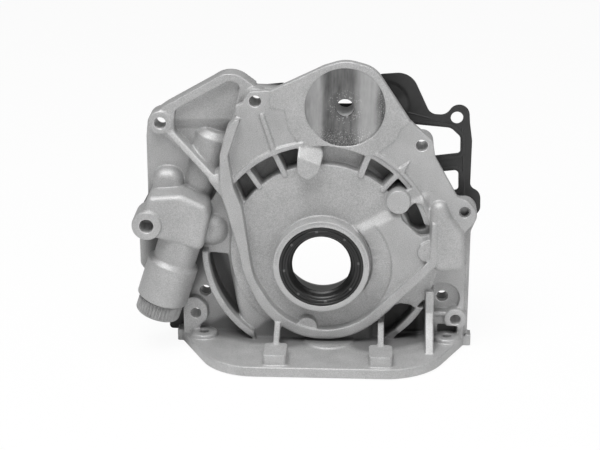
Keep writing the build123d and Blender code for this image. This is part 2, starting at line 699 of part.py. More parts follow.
def pump_housing():
    """The whole casting."""
    body = prism(plate_outline(), 0, plate_depth)
    body += rotor_drum()
    body += arm_web() + left_side()
    body -= arm_pocket()
    body += gallery_bulge()
    body += wall_ribs()
    body += front_wall()
    body += gallery_block() + lower_lugs() + arm_bosses()
    body += ridge() + ring_ribs()
    body -= window_ring()
    for tool in lower_windows():
        body -= tool
    body += window_ribs() + small_pads() + outlet_duct()
    body += valve_body() + seal_boss()
    body += sump_flange() + flange_feet()
    body -= rear_cores()
    body -= rotor_pocket()
    body -= drillings()
    body -= valve_bore()
    return body


def seal_case():
    """Steel ring of the seal, L-shaped in section."""
    front = seal_boss_depth - seal_rubber_face
    inner = seal_radius - seal_case_wall
    flange = seal_lip_radius + 4.2
    return turned([
        (seal_radius, seal_back_depth), (seal_radius, front), (flange, front),
        (flange, front - seal_case_wall), (inner, front - seal_case_wall), (inner, seal_back_depth),
    ])


def seal_rubber():
    """Rubber face of the seal and the lip that reaches back to the shaft."""
    front = seal_boss_depth
    face = front - seal_rubber_face
    root = seal_lip_radius + 4.2
    groove_radius = garter_radius - garter_wire / 2
    return turned([
        (seal_radius, face), (seal_radius, front), (root + 2.4, front), (root - 1.4, front - 2.0),
        (seal_lip_radius, garter_depth), (seal_lip_radius, garter_depth - seal_lip_land),
        (groove_radius, garter_depth - garter_wire / 2), (groove_radius, garter_depth + garter_wire / 2),
        (root, garter_depth + 2.6), (root, face),
    ])


def seal_garter_spring():
    """Ring spring in the groove behind the lip."""
    return Pos(0, -garter_depth, 0) * Rot(90, 0, 0) * square_ring(garter_radius, garter_wire)


def inner_profile():
    """Inner rotor's outline: arcs along the curve that the outer rotor's round lobes envelop."""
    outer_lobes = inner_lobes + 1
    points = []
    steps = inner_lobes * arcs_per_lobe * 2
    for step in range(steps):
        turn = 2 * math.pi * step / steps - math.radians(offset_angle) / inner_lobes
        crank = math.radians(offset_angle) + outer_lobes * turn
        x = lobe_circle * math.cos(turn) + rotor_offset * math.cos(crank)
        z = lobe_circle * math.sin(turn) + rotor_offset * math.sin(crank)
        across = lobe_circle * math.cos(turn) + outer_lobes * rotor_offset * math.cos(crank)
        up = lobe_circle * math.sin(turn) + outer_lobes * rotor_offset * math.sin(crank)
        length = math.hypot(across, up)
        points.append((x - lobe_radius * across / length, z - lobe_radius * up / length))
    points.append(points[0])
    arcs = [ThreePointArc(*points[step:step + 3]) for step in range(0, steps, 2)]
    return make_face(Curve() + arcs)


def inner_rotor():
    """Inner rotor with two drive flats in its bore."""
    bore = disc((0, 0), inner_rotor_bore)
    flats = Rectangle(2 * drive_flat_distance, 2 * inner_rotor_bore + 2)
    face = inner_profile() - (bore & flats)
    back = cover_thickness + rotor_end_gap
    return prism(face, back, back + rotor_width)


def outer_rotor():
    """Outer rotor: a ring with one round lobe more than the inner rotor has."""
    cavity_radius = outer_rotor_radius - outer_rotor_wall
    cavity = Circle(cavity_radius)
    outer_lobes = inner_lobes + 1
    for index in range(outer_lobes):
        place = polar((0, 0), lobe_circle, 360.0 * index / outer_lobes)
        cavity -= disc(place, lobe_radius - lobe_clearance)
    face = Pos(*rotor_axis) * (Circle(outer_rotor_radius) - cavity)
    back = cover_thickness + rotor_end_gap
    return prism(face, back, back + rotor_width)


def rotor_cover():
    """Steel plate that closes the rotor pocket, flush with the gasket face."""
    face = disc(rotor_axis, cover_radius) - disc((0, 0), cover_bore)
    plate = prism(face, 0, cover_thickness)
    for place in screw_places():
        plate -= screw_solid(place, cover_clearance, cover_thickness + 1)
    return plate


def screw_solid(place, clearance, length):
    """Countersunk screw at a place in the cover, or its clearance, with flat sides."""
    shank_radius = cover_screw_radius + clearance
    head_radius = cover_screw_head + clearance
    shank_face = Plane.XZ * Pos(*place) * RegularPolygon(shank_radius, cover_screw_sides)
    neck_face = Plane.XZ.offset(cover_screw_head - cover_screw_radius) * Pos(*place) * RegularPolygon(
        shank_radius, cover_screw_sides
    )
    head_face = Plane.XZ * Pos(*place) * RegularPolygon(head_radius, cover_screw_sides)
    return extrude(shank_face, amount=length) + loft([head_face, neck_face], ruled=True)


def cover_screws():
    """Countersunk screws, their heads flush with the plate."""
    return Compound([screw_solid(place, 0, cover_screw_length).solid() for place in screw_places()])


def relief_plunger():
    """Cup-shaped plunger of the relief valve, at rest on its seat."""
    top = valve_seat_height
    radius = plunger_radius - plunger_clearance
    body = valve_rod(radius, top - plunger_length, top)
    body = chamfer(body.edges().filter_by(GeomType.CIRCLE).sort_by(Axis.Z)[-1], 0.6)
    skirt_end = top - plunger_length
    return body - valve_rod(radius - plunger_wall, skirt_end - 1, skirt_end + plunger_skirt)


def relief_spring():
    """Compression spring between the plunger and its seat in the plug."""
    bottom = plug_seat - spring_seat_height + spring_seat_wall + spring_wire
    top = valve_seat_height - plunger_length + plunger_skirt - spring_wire
    coil_radius = plunger_radius - plunger_clearance - plunger_wall - spring_wire - spring_clearance
    height = top - bottom
    places = []
    for step in range(spring_turns * spring_points + 1):
        share = step / (spring_turns * spring_points)
        places.append((*polar((0, 0), coil_radius, 360.0 * spring_turns * share), height * share))
    path = Polyline(*places)
    section = Plane(origin=path @ 0, z_dir=path % 0) * RegularPolygon(spring_wire, 4)
    return valve_frame.offset(bottom) * sweep(section, path=path, transition=Transition.RIGHT)


def relief_spring_seat():
    """Shallow cup in the plug that centres the spring."""
    bottom = plug_seat - spring_seat_height
    radius = plunger_radius - plunger_clearance - plunger_wall - spring_clearance + spring_seat_wall
    cup = valve_rod(radius, bottom, plug_seat)
    return cup - valve_rod(radius - spring_seat_wall, bottom + spring_seat_wall, plug_seat + 1)


def relief_plug():
    """Screwed plug with a grooved head that closes the barrel."""
    seat_radius = plunger_radius - plunger_clearance - plunger_wall - spring_clearance + spring_seat_wall
    corners = []
    for index in range(plug_groove_count):
        for share, radius in ((0.0, plug_head_radius - plug_groove_depth), (0.5, plug_head_radius)):
            corners.append(polar((0, 0), radius, 360.0 * (index + share) / plug_groove_count))
    grooved = make_face(Polyline(*corners, close=True))
    head_frame = valve_frame.offset(-washer_thickness - plug_head_length)
    head = extrude(head_frame * grooved, amount=plug_head_length)
    stem = valve_rod(plug_thread_radius, -washer_thickness - 0.5, plug_seat)
    return head + stem - valve_rod(seat_radius, plug_seat - spring_seat_height, plug_seat + 1)


def cross_gallery_plug():
    """Pressed pin that closes the outer end of the cross gallery."""
    start = port_centre[0] - pressure_boss_radius + 0.8
    return cross_drilling(start, start + cross_plug_length)


def ear_plug():
    """Pressed cup that closes the gallery in the small ear."""
    front = panel_depth - ear_plug_inset
    cup = prism(disc(small_bolts["ear"], ear_plug_radius), front - ear_plug_height, front)
    hollow = disc(small_bolts["ear"], ear_plug_radius - spring_seat_wall)
    return cup - prism(hollow, front - ear_plug_height + spring_seat_wall, front + 1)


def relief_plug_washer():
    """Sealing washer between the plug's head and the barrel."""
    return valve_rod(plug_head_radius - 0.6, -washer_thickness, 0) - valve_rod(
        plug_thread_radius, -washer_thickness - 1, 1
    )


def passage_openings():
    """The two openings of the gasket beside the casting."""
    upper = outline((66.0, 104.8, 3), (98.0, 102.0, 8), (105.5, 95.0, 5), (105.8, 81.8, 2.5), (80.0, 78.4, 3))
    lower = outline((86.0, 66.0, 2), (104.8, 68.2, 3), (105.3, 52.0, 2.5), (94.0, 50.0, 2))
    return [upper, lower]


def body_opening():
    """Inner line of the gasket, round the pump body."""
    return outline(
        (-100.0, -20.0, 10), (-78.0, -56.0, 12), (60.0, -58.0, 12), (84.0, -36.0, 10), (84.0, -6.0, 6),
        (100.0, -6.0, 6), (100.0, 26.0, 6), (72.0, 72.0, 10), (44.0, 104.0, 10), (-14.0, 106.0, 12),
        (-56.0, 112.0, 12), (-110.0, 96.0, 8), (-126.0, 60.0, 10), (-126.0, 0.0, 10),
    )


def rear_cores():
    """Shallow cored pockets in the gasket face, divided by radial ribs."""
    cores = offset(body_opening(), amount=-2.5) - disc(rotor_axis, cover_radius + 4.0)
    cores -= disc(outlet_centre, outlet_port_radius + 7.0)
    for index in range(core_rib_count):
        far_end = polar(rotor_axis, 170.0, 360.0 * (index + 0.5) / core_rib_count)
        cores -= band(rotor_axis, far_end, core_rib_width)
    for centre in list(large_bolts.values()) + list(small_bolts.values()):
        cores -= disc(centre, bolt_hole + 5.0)
    return prism(cores, -1, rear_core_depth)


def gasket_openings():
    """Every opening and bolt hole of the gasket."""
    holes = body_opening() + disc((102.4, 110.1), 4.8) + disc(outlet_centre, outlet_port_radius + 5.5)
    for opening in passage_openings():
        holes += opening
    for centre in list(large_bolts.values()) + [small_bolts["lug_left"], small_bolts["lug_right"]]:
        holes += disc(centre, bolt_hole + dowel_sleeve_wall + 0.3)
    return holes


def gasket_outline():
    """Outer line of the gasket, which reaches past the casting at the upper right."""
    return outline(
        (-123.5, -70.0, 3), (-123.5, -56.0, 6), (-116.0, -44.0, 8), (-134.0, -30.0, 10),
        (-141.0, -10.0, 8), (-141.0, 34.0, 8), (-134.0, 50.0, 6), (-133.0, 112.0, 8),
        (-118.0, 117.0, 5), (-84.0, 134.0, 20), (-69.0, 142.5, 10), (-52.5, 133.5, 6),
        (-30.0, 136.0, 5), (-12.0, 120.0, 10), (24.0, 120.0, 10), (42.0, 143.5, 8),
        (66.5, 145.5, 16), (82.0, 112.5, 8), (94.0, 112.0, 8), (100.0, 120.5, 8),
        (111.5, 119.5, 8), (112.5, 106.0, 12), (114.6, 92.0, 10), (114.4, 54.0, 6),
        (122.5, 50.0, 8), (123.0, 36.0, 8), (114.5, 24.0, 6), (114.5, -70.0, 3),
    )


def gasket_carrier():
    """Flat black carrier of the gasket, against the gasket face."""
    return prism(gasket_outline() - gasket_openings(), -gasket_thickness, 0)


def gasket_bead():
    """Raised rubber beads round the two passages, on the carrier's front."""
    beads = []
    for opening in passage_openings():
        ring = offset(opening, amount=bead_inset + bead_width) - offset(opening, amount=bead_inset)
        beads.append(prism(ring - plate_outline(), 0, bead_height).solid())
    return Compound(beads)


def mounting_dowels():
    """Hollow dowel sleeves that stand out of the gasket face round two bolt holes."""
    sleeves = []
    for name in ("left", "right"):
        outer = disc(large_bolts[name], bolt_hole + dowel_sleeve_wall)
        ring = outer - disc(large_bolts[name], bolt_hole)
        sleeves.append(prism(ring, -dowel_sleeve_length / 2, dowel_sleeve_length / 2).solid())
    return Compound(sleeves)


def square_ring(radius, section):
    """Ring about the Z axis, square in section."""
    return revolve(Plane.XZ * Pos(radius, 0) * Rectangle(section, section), Axis.Z)


def outlet_seal():
    """Ring in the groove round the outlet port."""
    ring = square_ring(outlet_port_radius + seal_groove_offset, face_seal_section)
    middle = face_seal_stand - face_seal_section / 2
    return Pos(outlet_centre[0], middle, outlet_centre[1]) * Rot(90, 0, 0) * ring


def inlet_seal():
    """Ring in the groove round the inlet port."""
    ring = square_ring(inlet_port_radius + seal_groove_offset, face_seal_section)
    middle = flange_bottom + face_seal_section / 2 - face_seal_stand
    return Pos(inlet_centre[0], -inlet_centre[1], middle) * ring


nodes = {
    "pump_housing": pump_housing(),
    "seal_case": seal_case(),
    "seal_rubber": seal_rubber(),
    "seal_garter_spring": seal_garter_spring(),
    "inner_rotor": inner_rotor(),
    "outer_rotor": outer_rotor(),
    "rotor_cover": rotor_cover(),
    "cover_screws": cover_screws(),
    "relief_plunger": relief_plunger(),
    "relief_spring": relief_spring(),
    "relief_spring_seat": relief_spring_seat(),
    "relief_plug": relief_plug(),
    "relief_plug_washer": relief_plug_washer(),
    "ear_plug": ear_plug(),
    "cross_gallery_plug": cross_gallery_plug(),
    "gasket_carrier": gasket_carrier(),
    "gasket_bead": gasket_bead(),
    "mounting_dowels": mounting_dowels(),
    "outlet_seal": outlet_seal(),
    "inlet_seal": inlet_seal(),
}

for name, shape in nodes.items():
    export_step(shape, f"parts/{name}.step")
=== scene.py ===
import json
import math

import bmesh
import bpy
import numpy as np
from mathutils import Matrix, Vector


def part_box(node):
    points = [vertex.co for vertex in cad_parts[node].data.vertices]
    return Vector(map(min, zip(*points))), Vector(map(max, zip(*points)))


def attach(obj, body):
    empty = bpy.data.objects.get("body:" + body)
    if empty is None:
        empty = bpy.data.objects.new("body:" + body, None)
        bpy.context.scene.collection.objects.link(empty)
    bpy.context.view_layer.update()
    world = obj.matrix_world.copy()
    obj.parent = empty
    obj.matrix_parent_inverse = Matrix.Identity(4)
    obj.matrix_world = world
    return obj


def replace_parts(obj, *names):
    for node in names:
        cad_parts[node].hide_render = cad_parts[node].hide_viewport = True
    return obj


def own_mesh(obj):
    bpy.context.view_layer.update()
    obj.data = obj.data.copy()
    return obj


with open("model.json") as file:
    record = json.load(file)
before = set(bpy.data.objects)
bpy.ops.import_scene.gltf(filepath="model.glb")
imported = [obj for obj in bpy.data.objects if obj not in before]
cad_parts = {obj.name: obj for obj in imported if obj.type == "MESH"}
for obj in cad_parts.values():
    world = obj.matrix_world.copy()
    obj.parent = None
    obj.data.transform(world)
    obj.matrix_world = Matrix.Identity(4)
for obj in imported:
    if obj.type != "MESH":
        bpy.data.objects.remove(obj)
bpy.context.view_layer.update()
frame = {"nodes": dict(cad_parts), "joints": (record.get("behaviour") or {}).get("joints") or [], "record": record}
nodes = frame["nodes"]
mounts = {mount["name"]: mount for mount in frame["record"]["mounts"]}
scene = bpy.context.scene
MM = 0.001

# Surface of the casting: cell of its mesh, rounds of softening and triangles kept
CASTING_CELL = 0.6 * MM
CASTING_SOFTENING = 4
CASTING_TRIANGLES = 190000

# How far round a point its surroundings are averaged for the casting's painted shade and light, and the cells that
# this is done in
STAND_CELL = 1.5 * MM
STAND_REACH = 6.5 * MM

# Machined faces of the casting
BOSS_RADIUS = 40.0
SEAT_RADIUS = 30.9

# Cored openings below the dish, where shade is painted dark: top of the crescent's rib and the way across it, and
# depth
CRESCENT_TOP = (-88.5, 1.1)
CRESCENT_ACROSS = (0.932, 0.362)
CORE_DEPTH = 18.0

# Crankshaft seal, as radii and depths ahead of the gasket face
SEAL_RADIUS = 32.5
SEAL_FRONT = 38.0
SEAL_BACK = 28.0
LIP_RADIUS = 22.6
LIP_ROOT = 26.8
LIP_DEPTH = 31.4
GARTER_RADIUS = 26.6
GARTER_COIL = 0.7

# Relief valve, with heights measured up its axis from the barrel's end
VALVE_END = Vector((-125.2, -27.0, -31.3))
PLUG_RADIUS = 17.6
PLUG_TOP = -1.6
PLUG_BOTTOM = -14.0
PLUG_SHANK_RADIUS = 11.0
PLUG_SHANK_TOP = 13.0
SPRING_SEAT_FLOOR = 10.0
SPRING_TOP = 55.0
SPRING_RADIUS = 4.5
SPRING_WIRE = 0.9
SPRING_TURNS = 6

# Upper edge of the duct at the right of the seal boss, and how far it is raised past its solid
DUCT_EDGE = (26.7, 26.3)
DUCT_ACROSS = (-0.494, 0.869)
DUCT_RISE = 3.5

# Dished lobe of the gasket beside the casting
GASKET_LOBE = (46.8, 119.5)
GASKET_LOBE_RADIUS = 20.0

# Cover screws
COVER_CENTRE = (2.404, -2.404)
SCREW_CIRCLE = 54.18
SCREW_COUNT = 5
SCREW_HEAD = 4.6
SCREW_SHANK = 2.5
SCREW_LENGTH = 15.0

# Studio, in metres and watts: place, size and power of each lamp, and the photograph's camera
LAMPS = {
    "key": ((-0.45, -0.95, 1.8), (1.2, 0.9), 26.0),
    "top": ((0.1, -0.3, 1.7), (1.4, 1.0), 13.0),
    "fill": ((0.9, -1.5, 0.6), (1.0, 1.0), 4.0),
}
LAMP_AIM = Vector((0.0, -0.03, 0.03))
FLOOR_GAP = 0.5 * MM
CAMERA_PLACE = Vector((37.8, -1184.3, 452.1)) * MM
CAMERA_DIRECTION = Vector((-0.04427, 0.93865, -0.34202))


class Value:
    """A number that changes over a surface. Arithmetic on it adds Math nodes."""

    def __init__(self, net, socket):
        self.net = net
        self.socket = socket

    def join(self, operation, *others):
        return Value(self.net, self.net.add("ShaderNodeMath", {"operation": operation}, [self, *others]))

    def __add__(self, other):
        return self.join("ADD", other)

    def __sub__(self, other):
        return self.join("SUBTRACT", other)

    def __mul__(self, other):
        return self.join("MULTIPLY", other)

    def __pow__(self, other):
        return self.join("POWER", other)

    def __rsub__(self, other):
        return (self * -1.0) + other

    __radd__ = __add__
    __rmul__ = __mul__

    def absolute(self):
        return self.join("ABSOLUTE")

    def largest(self, other):
        return self.join("MAXIMUM", other)

    def rise(self, low, high):
        """0 below low and 1 above high, smooth between them. With low above high it falls."""
        settings = {"interpolation_type": "SMOOTHSTEP"}
        inputs = {"Value": self, "From Min": low, "From Max": high, "To Min": 0.0, "To Max": 1.0}
        return Value(self.net, self.net.add("ShaderNodeMapRange", settings, inputs, output="Result"))

    def between(self, start, full, fading, end):
        """0 outside start and end, 1 from full to fading."""
        return self.rise(start, full) * self.rise(end, fading)


class Net:
    """Adds nodes to one node tree."""

    def __init__(self, tree):
        self.tree = tree

    def add(self, kind, settings=None, inputs=None, output=0):
        """Adds a node, sets its settings, then its inputs, and returns one of its outputs."""
        node = self.tree.nodes.new(kind)
        for name, value in (settings or {}).items():
            setattr(node, name, value)
        pairs = inputs.items() if isinstance(inputs, dict) else enumerate(inputs or [])
        for key, value in pairs:
            self.feed(node.inputs[key], value)
        return node.outputs[output]

    def feed(self, socket, value):
        if isinstance(value, Value):
            value = value.socket
        if isinstance(value, bpy.types.NodeSocket):
            self.tree.links.new(value, socket)
        else:
            socket.default_value = value

    def blend(self, share, low, high):
        """Colour between two greys or colours."""
        node = self.tree.nodes.new("ShaderNodeMix")
        node.data_type = "RGBA"
        colours = [s for s in node.inputs if s.type == "RGBA"]
        self.feed(node.inputs["Factor"], share)
        self.feed(colours[0], grey(low))
        self.feed(colours[1], grey(high))
        return [s for s in node.outputs if s.type == "RGBA"][0]


def grey(colour):
    if isinstance(colour, (int, float)):
        return (colour, colour, colour, 1.0)
    return colour


class Finish(Net):
    """One material: its nodes, the place on the surface in millimetres, and its shader."""

    def __init__(self, name, **constants):
        self.material = bpy.data.materials.new(name)
        self.material.use_nodes = True
        super().__init__(self.material.node_tree)
        self.shader = self.tree.nodes["Principled BSDF"]
        for key, value in constants.items():
            self.shader.inputs[key.replace("_", " ")].default_value = value
        place = self.add("ShaderNodeTexCoord", output="Object")
        scaled = {0: place, "Scale": 1.0 / MM}
        self.place = self.add("ShaderNodeVectorMath", {"operation": "SCALE"}, scaled)
        split = self.tree.nodes.new("ShaderNodeSeparateXYZ")
        self.feed(split.inputs[0], self.place)
        self.x, self.y, self.z = [Value(self, s) for s in split.outputs]

    def noise(self, scale, detail=2.0, stretch=None):
        """Soft random values, scale of them to the millimetre."""
        place = self.place
        if stretch:
            place = self.add("ShaderNodeVectorMath", {"operation": "MULTIPLY"}, [place, stretch])
        inputs = {"Vector": place, "Scale": scale, "Detail": detail}
        return Value(self, self.add("ShaderNodeTexNoise", inputs=inputs))

    def read(self, name):
        """Value stored at the mesh's points."""
        return Value(self, self.add("ShaderNodeAttribute", {"attribute_name": name}, output="Fac"))

    def from_axis(self, x, z):
        """Distance from an axis along Y."""
        return (((self.x - x) ** 2.0) + ((self.z - z) ** 2.0)) ** 0.5

    def colour(self, socket):
        self.feed(self.shader.inputs["Base Color"], socket)

    def rough(self, value):
        self.feed(self.shader.inputs["Roughness"], value)

    def metal(self, value):
        self.feed(self.shader.inputs["Metallic"], value)

    def relief(self, height, depth_mm):
        """Bump of a given depth in millimetres."""
        inputs = {"Height": height, "Distance": depth_mm * MM, "Strength": 1.0}
        self.feed(self.shader.inputs["Normal"], self.add("ShaderNodeBump", inputs=inputs))


def cast_alloy():
    """Die-cast aluminium: a fine grain, painted shade in the recesses, painted light on the raised ribs, and
    machined places.
    """
    finish = Finish("die_cast_aluminium")
    grain = finish.noise(1.5, 3.0)
    fine = finish.noise(4.0, 2.0)
    cloud = finish.noise(0.06, 3.0)
    pits = finish.noise(0.55, 3.0).rise(0.70, 0.76)
    # Painted light and shade: colour is lightened where the surface stands ahead of its surroundings and darkened
    # deep in recesses
    stand = finish.read("stand")
    crest_painted_light = stand.rise(-3.0, 6.0)
    hollow_painted_shade = stand.rise(-6.0, -16.0)
    tone = grain * 0.42 + fine * 0.42 + cloud * 0.16
    cast = finish.blend(tone.rise(0.33, 0.67), 0.31, 0.59)
    raised = finish.blend(tone.rise(0.33, 0.67), 0.35, 0.61)
    cast = finish.blend(crest_painted_light, cast, raised)
    machined = machined_places(finish)
    scratches = finish.noise(1.2, 2.0, (1.0, 1.0, 6.0))
    bright = finish.blend(scratches, 0.46, 0.74)
    # Painted shade: recesses darkened towards 0.10
    cast = finish.blend(hollow_painted_shade * 0.75, cast, 0.10)
    # Painted shade in the cored openings below the dish
    cast = finish.blend(shaded_cores(finish) * 0.8, cast, 0.04)
    cast = finish.blend(pits * 0.5, cast, 0.12)
    colour = finish.blend(machined, cast, bright)
    seat, seat_colour = turned_seat(finish)
    finish.colour(finish.blend(seat, colour, seat_colour))
    finish.rough(0.57 + hollow_painted_shade * 0.15 - machined * 0.14 - seat * 0.25 + (grain - 0.5) * 0.12)
    finish.metal(0.50 - hollow_painted_shade * 0.3 + seat * 0.12)
    height = grain * 0.6 + fine * 0.4 - pits * 0.8
    finish.relief(height * (1.0 - machined * 0.7) * (1.0 - seat * 0.6), 0.12)
    return finish.material


def shaded_cores(finish):
    """1 inside the cored openings below the dish, where shade is painted: the crescent and the slot at the right.
    """
    right, down = finish.x - CRESCENT_TOP[0], finish.z - CRESCENT_TOP[1]
    beside = right * CRESCENT_ACROSS[0] + down * CRESCENT_ACROSS[1]
    crescent = beside.between(-5.0, -2.0, 5.0, 15.0) * finish.z.between(-52.0, -48.0, 2.0, 5.0)
    slot = finish.x.between(47.0, 50.0, 74.0, 78.0) * finish.z.between(-70.0, -66.0, -40.0, -36.0)
    return crescent.largest(slot) * finish.y.rise(-CORE_DEPTH - 6.0, -CORE_DEPTH)


def machined_places(finish):
    """1 on the machined faces and in the drilled holes of the casting."""
    mask = finish.y.rise(-0.35, -0.15)
    floor = mounts["sump_face"]["pos_m"][2] / MM
    mask = mask.largest(finish.z.rise(floor + 0.35, floor + 0.15))
    boss = finish.from_axis(0.0, 0.0)
    face = finish.y.rise(-SEAL_FRONT + 0.45, -SEAL_FRONT + 0.3)
    mask = mask.largest(face * boss.rise(BOSS_RADIUS, BOSS_RADIUS - 1.0) * 0.4)
    mask = mask.largest(boss.rise(SEAL_RADIUS - 2.0, SEAL_RADIUS - 3.0))
    for x, z, radius, depth in drilled_holes():
        hole = finish.from_axis(x, z).rise(radius + 0.8, radius + 0.45)
        mask = mask.largest(hole * finish.y.rise(-depth - 1.5, -depth - 1.0))
    return mask


def drilled_holes():
    """Place, radius and front depth of each hole along the crankshaft's direction."""
    holes = []
    for mount in mounts.values():
        if mount["kind"] in ("bore", "threaded_hole") and abs(mount["axis"][1]) > 0.9:
            radius = mount["dims"]["r_mm"]
            if radius < 20.0:
                x, y, z = [value / MM for value in mount["pos_m"]]
                front = -y + mount["dims"]["length_mm"] if mount["name"] == "outlet_port" else 60.0
                holes.append((x, z, radius, front))
    return holes


def turned_seat(finish):
    """Where the tensioner's turned seat is, and its colour: a painted reflection of the turning sheen as a dark
    band and darker edges, with streaks and specks.
    """
    seat = mounts["tensioner_seat"]["pos_m"]
    centre = mounts["tensioner_hole"]["pos_m"]
    x, z = centre[0] / MM, centre[2] / MM
    depth = seat[1] / MM
    distance = finish.from_axis(x, z)
    face = (finish.y - depth).absolute().rise(0.6, 0.4)
    where = distance.rise(SEAT_RADIUS, SEAT_RADIUS - 0.4) * face
    across = finish.x - x
    up = finish.z - z
    drift = (finish.noise(0.05, 2.0) - 0.5) * 6.0
    # Painted reflection: the dark band and darker edges stand in for the turned face's sheen
    band = (across + drift).between(-20.0, -14.0, 5.0, 14.0)
    right_edge = (across + drift * 0.5).rise(21.0, 28.0)
    left_edge = across.rise(-24.0, -30.0)
    streaks = finish.noise(0.5, 3.0, (1.0, 1.0, 0.12))
    slant = finish.noise(0.25, 2.0, (1.0, 1.0, 0.4))
    specks = finish.noise(1.3, 2.0).rise(0.56, 0.66)
    low_specks = specks * up.rise(-12.0, -24.0) * 0.8 + specks * right_edge * 0.5
    scuffs = finish.noise(0.9, 1.0).rise(0.62, 0.7) * distance.rise(16.0, 9.0) * 0.35
    tone = 0.50 + across * 0.002 - band * 0.33 - right_edge * 0.40 - left_edge * 0.10
    tone = tone + (streaks - 0.5) * 0.22 + (slant - 0.5) * 0.2 + low_specks * 0.55 + scuffs
    return where, finish.blend(tone, 0.02, 0.72)


def plain_metal(name, low, high, roughness, metallic=0.8, turning=None):
    """Ground, drawn or turned metal, with faint marks round the axis that it was turned on."""
    finish = Finish(name, Metallic=metallic)
    grain = finish.noise(2.5, 2.0)
    cloud = finish.noise(0.15, 2.0)
    tone = grain * 0.5 + cloud * 0.5
    if turning is not None:
        inputs = {"W": finish.from_axis(*turning), "Scale": 3.0, "Detail": 2.0}
        rings = Value(finish, finish.add("ShaderNodeTexNoise", {"noise_dimensions": "1D"}, inputs))
        tone = tone * 0.6 + rings * 0.4
    finish.colour(finish.blend(tone.rise(0.25, 0.75), low, high))
    finish.rough(roughness + (cloud - 0.5) * 0.15)
    finish.relief(tone, 0.02)
    return finish.material


def seal_black():
    """Moulded rubber of the shaft seal, with pale tick marks round its face."""
    finish = Finish("seal_nitrile", Metallic=0.0)
    finish.shader.inputs["Specular IOR Level"].default_value = 0.55
    cloud = finish.noise(0.4, 2.0)
    fine = finish.noise(3.0, 2.0)
    distance = finish.from_axis(0.0, 0.0)
    turn = finish.z.join("ARCTAN2", finish.x)
    ticks = (turn * 8.0 + 0.6).join("SINE").rise(0.94, 0.98) * distance.between(27.6, 28.2, 29.4, 30.0)
    finish.colour(finish.blend(ticks, finish.blend(cloud, 0.004, 0.010), 0.10))
    finish.rough(0.26 + cloud * 0.2)
    finish.relief(fine * 0.4 + cloud * 0.6, 0.04)
    return finish.material


def soft_black(name, low, high, roughness, depth=0.03):
    """Coated steel or moulded rubber, nearly black."""
    finish = Finish(name, Metallic=0.0)
    cloud = finish.noise(0.08, 3.0)
    fine = finish.noise(2.2, 3.0)
    finish.colour(finish.blend((cloud * 0.6 + fine * 0.4).rise(0.3, 0.7), low, high))
    finish.rough(roughness + (fine - 0.5) * 0.2)
    finish.relief(fine, depth)
    return finish.material


def pressed_gasket():
    """Black coating of the gasket, with the dished lobe and the pressed lines beside the casting; shade is painted
    in the lobe and at its rim, and highlights on the lobe and along the pressed lines.
    """
    finish = Finish("gasket_coating", Metallic=0.0)
    cloud = finish.noise(0.08, 3.0)
    fine = finish.noise(2.2, 3.0)
    lobe = finish.from_axis(*GASKET_LOBE)
    dish = lobe.rise(GASKET_LOBE_RADIUS, GASKET_LOBE_RADIUS - 3.0)
    rim = (lobe - GASKET_LOBE_RADIUS).absolute().rise(1.2, 0.2)
    strip_line = (finish.x - 106.6 - (104.0 - finish.z) * 0.06).absolute().rise(0.9, 0.3)
    strip_line = strip_line * finish.z.between(38.0, 44.0, 100.0, 105.0)
    arm_line = (finish.z - 113.4 + (finish.x - 65.6) * 0.25).absolute().rise(0.8, 0.2)
    arm_line = arm_line * finish.x.between(64.0, 66.0, 80.0, 86.0)
    # Painted highlight on the lit side of the lobe
    lobe_painted_highlight = finish.from_axis(GASKET_LOBE[0] + 15.0, GASKET_LOBE[1] + 1.5).rise(9.0, 2.0) * dish
    # Painted shade darkens the lobe and its rim; the pressed lines get painted highlights
    tone = (cloud * 0.6 + fine * 0.4).rise(0.3, 0.7) * 0.4 + 0.25 - dish * 0.2 + lobe_painted_highlight * 0.75
    tone = tone + strip_line * 0.35 + arm_line * 0.3 - rim * 0.15
    finish.colour(finish.blend(tone, 0.012, 0.046))
    finish.rough(0.42 + (fine - 0.5) * 0.2)
    finish.relief(fine * 0.03 + strip_line * 0.5 + arm_line * 0.5 - dish * 0.9, 0.6)
    return finish.material


def dress(piece, material):
    """Gives a piece one material."""
    piece.data.materials.clear()
    piece.data.materials.append(material)
    return piece


def new_piece(name, mesh, body="housing"):
    piece = bpy.data.objects.new(name, mesh)
    scene.collection.objects.link(piece)
    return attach(piece, body)


def baked(piece):
    """Plain mesh of a piece with its modifiers worked in."""
    view = bpy.context.evaluated_depsgraph_get()
    return bpy.data.meshes.new_from_object(piece.evaluated_get(view))


def merged_copy(node):
    """Mesh of a CAD node with its loose triangles joined up."""
    mesh = nodes[node].data.copy()
    edit = bmesh.new()
    edit.from_mesh(mesh)
    bmesh.ops.remove_doubles(edit, verts=edit.verts, dist=1e-6)
    edit.to_mesh(mesh)
    edit.free()
    return mesh


def neighbour_average(mesh):
    """Function that gives, for values at the vertices, the average of each one's neighbours."""
    count = len(mesh.vertices)
    ends = np.zeros(len(mesh.edges) * 2, np.int64)
    mesh.edges.foreach_get("vertices", ends)
    a, b = ends[0::2], ends[1::2]
    degree = np.bincount(ends, minlength=count).astype(float)[:, None]

    def average(values):
        total = np.zeros_like(values)
        for column in range(values.shape[1]):
            ahead = np.bincount(a, values[b, column], count)
            total[:, column] = ahead + np.bincount(b, values[a, column], count)
        return total / np.maximum(degree, 1.0)

    return average


def points_of(mesh):
    points = np.zeros(len(mesh.vertices) * 3)
    mesh.vertices.foreach_get("co", points)
    return points.reshape(-1, 3)


